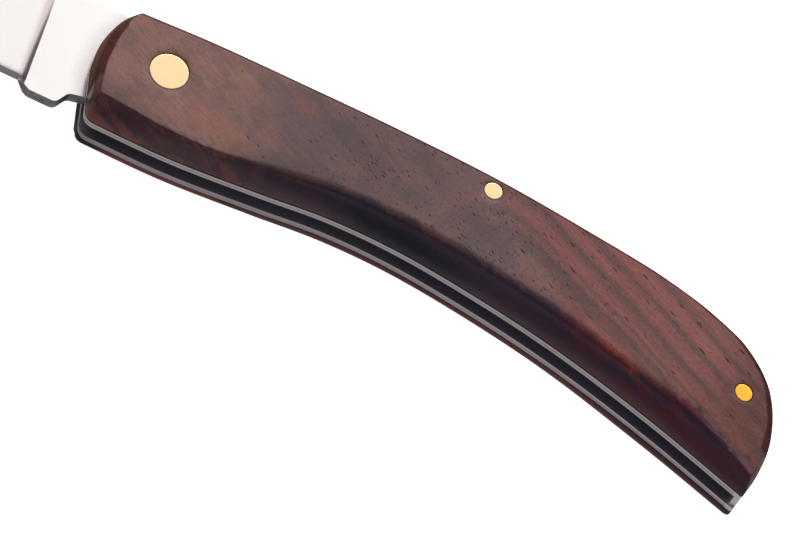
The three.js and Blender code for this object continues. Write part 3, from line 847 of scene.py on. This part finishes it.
def plain_bronze():
    """Bronze with faint turning marks."""
    bronze = Finish("plain_bronze", Metallic=1.0)
    rings = bronze.noise(5, 3, place=away(bronze.x, bronze.y), kind="1D")
    shade = bronze.mix(rings, (0.5, 0.31, 0.16), (0.64, 0.42, 0.24))
    return bronze.feed(Base_Color=shade, Roughness=0.32 + 0.14 * rings, Normal=bronze.bump(rings, 0.15, 0.01))


hardwood = dark_hardwood()
liner_steel = ground_steel("liner_steel", (0.88, 0.8, 0.805), 0.3)
spring_steel = ground_steel("spring_steel", (0.74, 0.71, 0.71), 0.28)
blade_steel = polished_blade_steel()
pale_brass = ground_brass("pale_brass", (0.86, 0.65, 0.37))
deep_brass = ground_brass("deep_brass", (1.0, 0.44, 0.052))
bronze = plain_bronze()


# Wooden scales

def mark_edges(mesh, face_ring, slot_side):
    """Stores how far a place is past the slot side's crease, and how far outside the flat face."""
    spots = np.array([v.co[:2] for v in mesh.vertices]) / MM
    t = np.linspace(0, 1, 500)
    line, width = slot_side.frame(t)[0], slot_side.width(t)
    outside = ~inside_loop(spots, face_ring, 0)
    edge, rim = [], []
    for block in np.array_split(np.arange(len(spots)), 40):
        from_line = norm(spots[block, None] - line)
        edge.append(np.maximum(width[from_line.argmin(axis=1)] - from_line.min(axis=1), -8))
        rim.append(norm(spots[block, None] - face_ring).min(axis=1) * outside[block])
    mark(mesh, "edge", np.concatenate(edge))
    mark(mesh, "rim", np.concatenate(rim))


def scale_piece(layer, direction, slot_bevel, end_profile):
    """A wooden scale with the holes of the rivets; direction is -1 for the lower one."""
    slot_side = Side([LOWER_CORNER, *SLOT_POINTS, BEAK_TIP], slot_bevel)
    places, heights = scale_rings(slot_side, end_profile)

    def height_at(spots, level):
        z = under_crown(spots[:, 0], spots[:, 1], NEAR_SCALE_Z + SCALE_THICKNESS * level)
        return z if direction > 0 else TOP_Z - z

    shell = Shell()
    rings = [shell.ring(spots, height_at(spots, level)) for spots, level in zip(places, heights)]
    shell.bridge(*rings)

    grid = np.stack(np.meshgrid(np.arange(-10, 101, 1.3), np.arange(-14, 11, 1.3)), axis=-1).reshape(-1, 2)
    grid = grid[inside_loop(grid, places[-1], 0.5)]
    face_holes, foot_holes = [], []
    for place, radius in RIVETS:
        radius += HOLE_CLEARANCE
        grid = grid[np.hypot(grid[:, 0] - place[0], grid[:, 1] - place[1]) > radius + 0.5]
        steps = [(radius + HOLE_EDGE, 0), (radius + 0.3 * HOLE_EDGE, 0.3 * HOLE_EDGE), (radius, HOLE_EDGE)]
        if place == PIVOT:
            steps.append((PIVOT_RADIUS + HOLE_CLEARANCE, PIVOT_HEAD_DEPTH))
        loops = []
        for at, depth in steps:
            spots = circle(place, at)
            loops.append(shell.ring(spots, height_at(spots, 1) - direction * depth))
        loops.append(shell.ring(spots, height_at(spots, 0)))
        shell.bridge(*loops)
        face_holes.append(loops[0])
        foot_holes.append(loops[-1])

    shell.cap([rings[-1], *face_holes], grid, lambda spots: height_at(spots, 1))
    shell.cap([rings[0], *foot_holes])
    name = layer + "_wooden_scale"
    mesh = shell.mesh(name)
    mark_edges(mesh, places[-1], slot_side)
    place_piece(name, mesh, hardwood, "handle", "wood", layer + "_scale")
    return places, heights


near_places, near_heights = scale_piece("near", 1, NEAR_SLOT_BEVEL, NEAR_END_PROFILE)
scale_piece("far", -1, FAR_SLOT_BEVEL, FAR_END_PROFILE)

# Outline of the liners, and its part along the back
outline = near_places[np.argmin(np.abs(near_heights[:, 0] - WALL_SHARE))]
back_first = END_STEPS + 1 + SLOT_STEPS + 1 + 2 * (CORNER_STEPS - 1)
back_line = outline[back_first:back_first + BACK_STEPS + 1]


def back_y(x):
    """Height of the handle's back above a place in front of the butt's turn."""
    top = back_line[np.argmax(back_line[:, 0]):][::-1]
    return float(np.interp(x, top[:, 0], top[:, 1]))


# Pieces from Geometry Nodes

class Shaper(Tree):
    """A geometry tree that makes a piece from lines and some sizes."""

    def __init__(self, name, **inputs):
        super().__init__(bpy.data.node_groups.new(name, "GeometryNodeTree"))
        face = self.owner.interface
        for key, kind in {"Lines": "Geometry", **inputs, "Finish": "Material"}.items():
            face.new_socket(name=key, in_out="INPUT", socket_type="NodeSocket" + kind)
        face.new_socket(name="Piece", in_out="OUTPUT", socket_type="NodeSocketGeometry")
        self.given = self.add("NodeGroupInput").out
        self.curve = self.add("GeometryNodeMeshToCurve", {"Mesh": self.given("Lines")})

    def finish(self, shape):
        """Ends the tree with plain geometry in its finish."""
        shape = self.add("GeometryNodeRealizeInstances", {"Geometry": shape})
        shape = self.add("GeometryNodeSetMaterial", {"Geometry": shape, "Material": self.given("Finish")})
        self.add("NodeGroupOutput", {0: shape})

    def piece(self, name, finish, slot, node, chains, closed, crisp, ease=0, **values):
        """Places a plain mesh made from chains of points and the named inputs; ease bevels its edges."""
        values["Finish"] = finish
        points, edges = [], []
        for chain in chains:
            start, count = len(points), len(chain)
            points += [(x * MM, y * MM, 0) for x, y in chain]
            edges += [(start + k, start + (k + 1) % count) for k in range(count if closed else count - 1)]
        lines = bpy.data.meshes.new(name + "_lines")
        lines.from_pydata(points, edges, [])
        helper = new_object(name, lines)
        modifier = put(helper.modifiers.new("shape", "NODES"), node_group=self.owner)
        for item in self.owner.interface.items_tree:
            if item.in_out == "INPUT" and item.name in values:
                modifier[item.identifier] = values[item.name]
        if ease:
            put(
                helper.modifiers.new("eased", "BEVEL"), width=ease * MM, segments=2, limit_method="ANGLE",
                angle_limit=math.radians(40), use_clamp_overlap=False,
            )
        bpy.context.view_layer.update()
        mesh = bpy.data.meshes.new_from_object(helper.evaluated_get(bpy.context.evaluated_depsgraph_get()))
        helper.modifiers.clear()
        bpy.data.objects.remove(helper)
        mesh.name = name
        tidy_mesh(mesh, crisp)
        place_piece(name, mesh, finish, "handle", slot, node)


def plate_shaper():
    """Fills flat loops, gives them a thickness and lifts them to their place."""
    t = Shaper("steel_plate", Foot="Float", Thickness="Float")
    filled = t.add("GeometryNodeFillCurve", {"Curve": t.curve}, mode="NGONS")
    filled = t.add("GeometryNodeSetPosition", {"Geometry": filled, "Offset": t.join(0, 0, t.given("Foot"))})
    push = {"Mesh": filled, "Offset": t.join(0, 0, 1), "Offset Scale": t.given("Thickness"), "Individual": False}
    pushed = t.add("GeometryNodeExtrudeMesh", push, mode="FACES")
    both = t.add("GeometryNodeJoinGeometry")
    for part in (t.add("GeometryNodeFlipFaces", {"Mesh": filled}), pushed):
        t.owner.links.new(part.socket, both.socket.node.inputs[0])
    t.finish(t.add("GeometryNodeMergeByDistance", {"Geometry": both, "Distance": 1e-7}))
    return t


plates = plate_shaper()


def plate_piece(name, finish, slot, node, loops, foot, thickness):
    plates.piece(name, finish, slot, node, loops, True, 50, PLATE_EDGE, Foot=foot * MM, Thickness=thickness * MM)


pin_holes = [circle(pin, PIN_RADIUS + HOLE_CLEARANCE, PLATE_HOLE_STEPS) for pin in (MIDDLE_PIN, BUTT_PIN)]
liner = [outline, circle(PIVOT, PIVOT_RADIUS + HOLE_CLEARANCE, PLATE_HOLE_STEPS), *pin_holes]
for side, level in (("near", NEAR_LINER_Z), ("far", FAR_LINER_Z)):
    plate_piece(side + "_steel_liner", liner_steel, "liner_steel", side + "_liner", liner, level, LINER_THICKNESS)


def spring_outline():
    """The spring bears on the tang at its front end, fills the back and closes the butt."""
    def under_back(x, depth):
        return (x, back_y(x) - depth)

    pin_x, pin_y = MIDDLE_PIN
    under_pin = pin_y - PIN_RADIUS - SPRING_PIN_WALL
    boss = arc(BUTT_PIN, BUTT_BOSS_RADIUS, *BUTT_BOSS_ARC, 24)
    rising = back_line[:60]
    tail_from = int(np.argmin(np.abs(rising[:, 1] - TAIL_START_Y)))
    tail = [(rising[k][0] - SPRING_TAIL, rising[k][1]) for k in (tail_from, tail_from // 2, 0)]
    arm = through([
        under_back(SPRING_WAIST_START_X, SPRING_WAIST), under_back(SPRING_WAIST_END_X, SPRING_WAIST),
        (pin_x - SPRING_PIN_SPREAD, under_pin + 0.6), (pin_x, under_pin), (pin_x + SPRING_PIN_SPREAD, under_pin + 0.4),
        *[under_back(at, SPRING_REAR) for at in SPRING_REAR_X], tuple(boss[0]),
    ], np.linspace(0, 1, 121))
    inside = through([tuple(boss[-1]), (tail[0][0] - 1.6, boss[-1][1] - 0.5), *tail], np.linspace(0, 1, 41))[1:]
    outer = back_line[back_line[:, 0] > SPRING_END_X + 0.2]
    front = [(SPRING_END_X, CAM_FLAT), (SPRING_FLAT_END_X, CAM_FLAT)]
    return np.vstack([front, arm, boss[1:], inside, outer, [under_back(SPRING_END_X, 0)]])


plate_piece(
    "steel_back_spring", spring_steel, "spring_steel", "back_spring", [spring_outline(), *pin_holes],
    SLOT_Z + SPRING_PLAY, SLOT_WIDTH - 2 * SPRING_PLAY,
)


# Blade

edge_line = bezier(HEEL, EDGE_BELLY, TIP, np.linspace(0, 1, 121))


def edge_y(distance):
    return np.interp(distance, -edge_line[:, 0], edge_line[:, 1])


def spine_y(distance):
    f = np.maximum(0, (distance - SPINE_DROP_START) / (-TIP[0] - SPINE_DROP_START))
    return SPINE_Y - (SPINE_Y - TIP[1] - TIP_WIDTH) * f**SPINE_DROP_POWER


NICK_Y = spine_y(-NICK_X) - NICK_BELOW_SPINE


def lean(distance):
    """How the plunge line leans; the lean fades out over the first part of the grind."""
    return PLUNGE_LEAN * (1 - smooth(distance / (0.3 * GRIND_LENGTH)))


def blade_half(x, y, nick=True):
    """Half the blade's thickness at a place, with the ground face, plunge and nail nick."""
    half = BLADE_THICKNESS / 2
    d = PLUNGE_X - x
    for _ in range(4):
        d = PLUNGE_X + lean(np.maximum(d, 0)) * y - x
    w = y - edge_y(-PLUNGE_X + np.maximum(d, 0))
    ground = np.where(
        w < SHOULDER_HEIGHT,
        lerp(EDGE_THICKNESS, SHOULDER_THICKNESS, np.clip(w, 0, None) / SHOULDER_HEIGHT) / 2,
        SHOULDER_THICKNESS / 2 + (w - SHOULDER_HEIGHT) * GRIND_SLOPE,
    )
    cut = lerp(half, ground, 1 - (1 - np.clip(d / PLUNGE_RAMP, 0, 1)) ** PLUNGE_POWER)
    z = np.where(d > 0, np.minimum(half, cut), half)
    if nick:
        up = (y - NICK_Y) / NICK_HEIGHT + 0.5
        floor = half - NICK_DEPTH * up + (x - NICK_X) ** 2 / (2 * NICK_RADIUS)
        z = np.where((up >= 0) & (up <= 1.001), np.minimum(z, floor), z)
    return z


def eased_corners(points, roundings):
    """A chain with its inner corners slightly rounded; the two ends are left out."""
    made = []
    for a, b, c, radius in zip(points, points[1:], points[2:], roundings):
        b = np.array(b)
        legs = [np.array(end) - b for end in (a, c)]
        p, q = [b + leg / np.linalg.norm(leg) * min(radius, 0.4 * np.linalg.norm(leg)) for leg in legs]
        made.append(bezier(p, b, q, np.linspace(0, 1, 5)))
    return np.vstack(made)


def blade_outline():
    """Loop of the back, edge, kick and tang."""
    flat = CAM_FLAT - CONTACT_GAP
    half_flat = math.acos(flat / CAM_RADIUS)
    closed = math.pi / 2 - CLOSED_ANGLE
    shoulder_x = SPRING_END_X - CONTACT_GAP
    top = [(at, back_y(at)) for at in (shoulder_x, (shoulder_x + TOP_CORNER[0]) / 2)]
    d = np.linspace(SPINE_DROP_START, -TIP[0], 90)
    spine = np.stack([-d, spine_y(d)], axis=1)
    cam = arc(PIVOT, CAM_RADIUS, closed + half_flat, math.pi / 2 - half_flat, 40)
    foot = arc(PIVOT, CAM_RADIUS, closed - half_flat, closed + half_flat, 1)
    kick = eased_corners([HEEL, *KICK, TANG_FOOT, tuple(foot[0])], TANG_ROUNDING)
    front = [(TOP_CORNER[0], SPINE_Y)]
    return np.vstack([top, front, spine, edge_line[::-1], kick, foot, cam[1:], [(shoulder_x, flat)]])


def moved_inwards(loop, amount):
    """A loop of either sense with each point moved in by its amount."""
    middle = 0
    for d in (loop - np.roll(loop, 1, axis=0), np.roll(loop, -1, axis=0) - loop):
        middle = middle + np.stack([-d[:, 1], d[:, 0]], axis=1) / np.maximum(norm(d), 1e-9)[:, None]
    scale = np.maximum(np.sum(middle * middle, axis=1), 0.7)[:, None] / 2
    area = np.sum(loop[:, 0] * np.roll(loop[:, 1], -1) - loop[:, 1] * np.roll(loop[:, 0], -1))
    return loop + math.copysign(1, area) * middle / scale * amount[:, None] / 2


def blade_spots(face):
    """Loose points on the blade's face along the plunge and the grind, and those of the nail nick."""
    spots = []
    for d in np.concatenate([[-0.06, 0.0], np.linspace(0.06, 1, 14) ** 1.1 * PLUNGE_RAMP, np.arange(2.0, 72, 1.2)]):
        for w in [0.3, 0.6, SHOULDER_HEIGHT - 0.05, SHOULDER_HEIGHT + 0.05, *np.arange(1.6, 19, 0.8)]:
            y = edge_y(-PLUNGE_X + max(d, 0)) + w
            spots.append((PLUNGE_X - d + lean(max(d, 0)) * y, y))
    spots = np.array(spots)
    blank = face[np.abs(np.roll(face, -1, axis=0) - face).sum(axis=1) > 1e-6]
    top = NICK_Y + NICK_HEIGHT / 2
    nick = []
    for f in np.linspace(-1, 1, 31):
        at = NICK_X + f * math.sqrt(2 * NICK_RADIUS * NICK_DEPTH)
        low = lerp(NICK_Y - NICK_HEIGHT / 2, top, f * f)
        nick += [(at, low + (top - low) * g) for g in (-0.03, 0, 0.25, 0.5, 0.75, 0.99)] + [(at, top + 0.03)]
    return spots[inside_loop(spots, blank, 0.12)], np.array(nick)


def blade_piece(name):
    rim = blade_outline()
    half_rim = blade_half(*rim.T, False)
    ease = np.minimum(BLADE_EDGE, 0.25 * half_rim)
    face = moved_inwards(rim, ease)
    half_face = blade_half(*face.T, False)
    hole = circle(PIVOT, PIVOT_RADIUS + TANG_CLEARANCE)
    spots, nick = blade_spots(face)
    near_nick = np.all(np.abs(spots - (NICK_X, NICK_Y)) < NICK_ZONE, axis=1)
    shell = Shell()
    rims, holes = [], []
    for sign, inside in ((1, np.vstack([spots[~near_nick], nick])), (-1, spots)):
        loop = shell.ring(face, MIDDLE_Z + sign * half_face)
        rims.append(shell.ring(rim, MIDDLE_Z + sign * (half_rim - 0.8 * ease)))
        holes.append(shell.ring(hole, MIDDLE_Z + sign * BLADE_THICKNESS / 2))
        shell.bridge(loop, rims[-1])
        shell.cap([loop, holes[-1]], inside, lambda at: MIDDLE_Z + sign * blade_half(*at.T, sign > 0))
    shell.bridge(*rims)
    shell.bridge(*holes)
    table = np.vstack(shell.points)
    mesh = shell.mesh(name)
    keys = {tuple(np.round(table[i] * MM, 6)) for i in rims[0] + rims[1]}
    mark(mesh, "side", [tuple(np.round(v.co, 6)) in keys for v in mesh.vertices])
    place_piece(name, mesh, blade_steel, "blade", "blade_steel", "blade")


blade_piece("polished_steel_blade")


# Rivets and washers

def turning_shaper():
    """Turns a profile about its axis, stands it in its place and trims it to the crown."""
    t = Shaper("turned_rivet", Radius="Float", Steps="Int", Place="Vector", Crown="Float")
    path = t.add("GeometryNodeCurvePrimitiveCircle", {"Resolution": t.given("Steps"), "Radius": t.given("Radius")})
    body = t.add("GeometryNodeCurveToMesh", {"Curve": path, "Profile Curve": t.curve})
    body = t.add("GeometryNodeMergeByDistance", {"Geometry": body, "Distance": 2e-6})
    body = t.add("GeometryNodeSetPosition", {"Geometry": body, "Offset": t.given("Place")})
    x, y, z = t.split(t.add("GeometryNodeInputPosition"))
    s = (x * math.cos(CROWN_TURN) + y * math.sin(CROWN_TURN) - CROWN_START_X * MM).above(0)
    drop = s * s / (2 * CROWN_RADIUS * MM) * t.given("Crown")
    side = (z / (MIDDLE_Z * MM) - 1).below(1).above(-1)
    ends = side.math("GREATER_THAN", abs(side), 0.9)
    lift = t.join(0, 0, 0 - drop * ends * side.math("SIGN", side))
    t.finish(t.add("GeometryNodeSetPosition", {"Geometry": body, "Offset": lift}))
    return t


turning = turning_shaper()


def turned_piece(name, finish, slot, node, profile, place, crown=0.0, closed=False):
    """Profile is (radius, height) pairs; the tree's circle runs outside it and is drawn back in."""
    chain = [(radius - TURN_RADIUS, -z) for radius, z in profile]
    turning.piece(
        name, finish, slot, node, [chain], closed, 28, Radius=TURN_RADIUS * MM, Steps=ROUND_STEPS,
        Place=(place[0] * MM, place[1] * MM, 0), Crown=crown,
    )


def headed(radius, edge, gap, *rest):
    """Profile of a rivet with slightly domed ends: the upper head, the rest of that half and its mirror."""
    half = [
        (0, TOP_Z + RIVET_DOME), (0.5 * radius, TOP_Z + 0.8 * RIVET_DOME),
        (radius - edge - gap, TOP_Z + 0.1 * RIVET_DOME), (radius - edge, TOP_Z),
        (radius - 0.3 * edge, TOP_Z - 0.3 * edge), *rest,
    ]
    return half + [(r, TOP_Z - z) for r, z in reversed(half)]


shank = [(PIVOT_HEAD_RADIUS - 0.02, TOP_Z - PIVOT_EDGE), (PIVOT_RADIUS, TOP_Z - PIVOT_HEAD_DEPTH)]
pivot = headed(PIVOT_HEAD_RADIUS, PIVOT_EDGE, 0.1, *shank)
pin = headed(PIN_RADIUS, PIN_EDGE, 0.08, (PIN_RADIUS, TOP_Z - PIN_EDGE))
turned_piece("brass_pivot_rivet", pale_brass, "brass", "pivot_rivet", pivot, PIVOT)
turned_piece("brass_middle_pin", pale_brass, "brass", "middle_pin", pin, MIDDLE_PIN)
turned_piece("brass_butt_pin", deep_brass, "brass", "butt_pin", pin, BUTT_PIN, crown=1.0)

for side, foot in (("far", SLOT_Z), ("near", NEAR_LINER_Z - WASHER_THICKNESS)):
    inner, outer, top, edge = PIVOT_RADIUS + TANG_CLEARANCE, WASHER_RADIUS, foot + WASHER_THICKNESS, WASHER_EDGE
    profile = [
        (inner, foot + edge), (inner + edge, foot), (outer - edge, foot), (outer, foot + edge),
        (outer, top - edge), (outer - edge, top), (inner + edge, top), (inner, top - edge),
    ]
    turned_piece(side + "_bronze_washer", bronze, "bronze", side + "_washer", profile, PIVOT, closed=True)


# Stage, light and camera; lengths are in metres

SHEET_REACH = 3.0


def paper_sheet(name, height, shade, glow):
    """A large level sheet of matt, faintly uneven paper, which also shines a little by itself."""
    paper = Finish(name + "_paper", Roughness=0.9, Emission_Strength=glow, Emission_Color=(1, 1, 1, 1))
    mesh = bpy.data.meshes.new(name)
    corners = [(SHEET_REACH * x, SHEET_REACH * y, 0) for x, y in ((-1, -1), (1, -1), (1, 1), (-1, 1))]
    mesh.from_pydata(corners, [], [(0, 1, 2, 3)])
    mesh.materials.append(paper.feed(Base_Color=paper.mix(paper.noise(0.05), (shade,) * 3, (shade + 0.02,) * 3)))
    sheet = put(new_object(name, mesh), location=(0, 0, height))
    return sheet


# Area lights that face the knife: direction, distance, width, depth, radiance and colour
PANELS = {
    "softbox": ((-0.03, 0.74, 0.67), 0.8, 1.6, 0.8, 1.2, (1, 1, 1)),
    "top_card": ((0, -0.06, 1), 0.9, 1.5, 0.6, 0.13, (1.1, 0.95, 0.95)),
    "back_panel": ((0, 0.94, 0.34), 0.9, 1.6, 0.4, 3.0, (1, 1, 1)),
    "front_card": ((0, -0.83, 0.5), 1.2, 1.7, 0.26, 0.45, (0.9, 0.85, 1.15)),
    "low_card": ((0, -1, 0.1), 1.2, 1.7, 0.3, 0.12, (0.95, 0.92, 1.1)),
}
LIGHT_TARGET = (0.04, 0.0, 0.014)
WORLD_COLOUR = (0.045, 0.042, 0.05, 1)


def stage_and_light():
    """White floor for the eye, a grey table that the knife reflects, and the soft panels."""
    floor = paper_sheet("white_floor", -0.0002, 0.86, 1.0)
    floor.visible_diffuse = floor.visible_glossy = floor.visible_shadow = False
    table = paper_sheet("grey_table", -0.0004, 0.2, 0.3)
    table.visible_camera = False

    world = bpy.data.worlds.new("dim_studio")
    world.use_nodes = True
    world.node_tree.nodes["Background"].inputs[0].default_value = WORLD_COLOUR
    bpy.context.scene.world = world
    for name, (direction, distance, width, depth, radiance, colour) in PANELS.items():
        lamp = bpy.data.lights.new(name, "AREA")
        energy = radiance * math.pi * width * depth
        put(lamp, shape="RECTANGLE", size=width, size_y=depth, energy=energy, color=colour)
        panel = new_object(name, lamp)
        direction = Vector(direction).normalized()
        panel.location = Vector(LIGHT_TARGET) + direction * distance
        panel.rotation_euler = direction.to_track_quat("Z", "Y").to_euler()
        panel.visible_camera = False


# The photo's camera, calibrated on the rivet heads and the handle's outline
FOCAL_LENGTH = 252.77
CAMERA_PLACE = (0.017307, -0.428436, 0.693931)
CAMERA_RIGHT = (0.881767, 0.386820, 0.269919)
CAMERA_UP = (-0.470664, 0.759178, 0.449582)
CAMERA_FORWARD = (0.031009, 0.523468, -0.851481)


def photo_camera():
    camera = bpy.data.cameras.new("camera")
    put(camera, sensor_width=36, sensor_fit="HORIZONTAL", lens=FOCAL_LENGTH, clip_start=0.01)
    holder = new_object("camera", camera)
    turn = Matrix((CAMERA_RIGHT, CAMERA_UP, -Vector(CAMERA_FORWARD))).transposed()
    holder.matrix_world = Matrix.Translation(CAMERA_PLACE) @ turn.to_4x4()
    bpy.context.scene.camera = holder


stage_and_light()
photo_camera()
bpy.context.scene.view_settings.view_transform = "Standard"
bpy.context.scene.view_settings.look = "None"
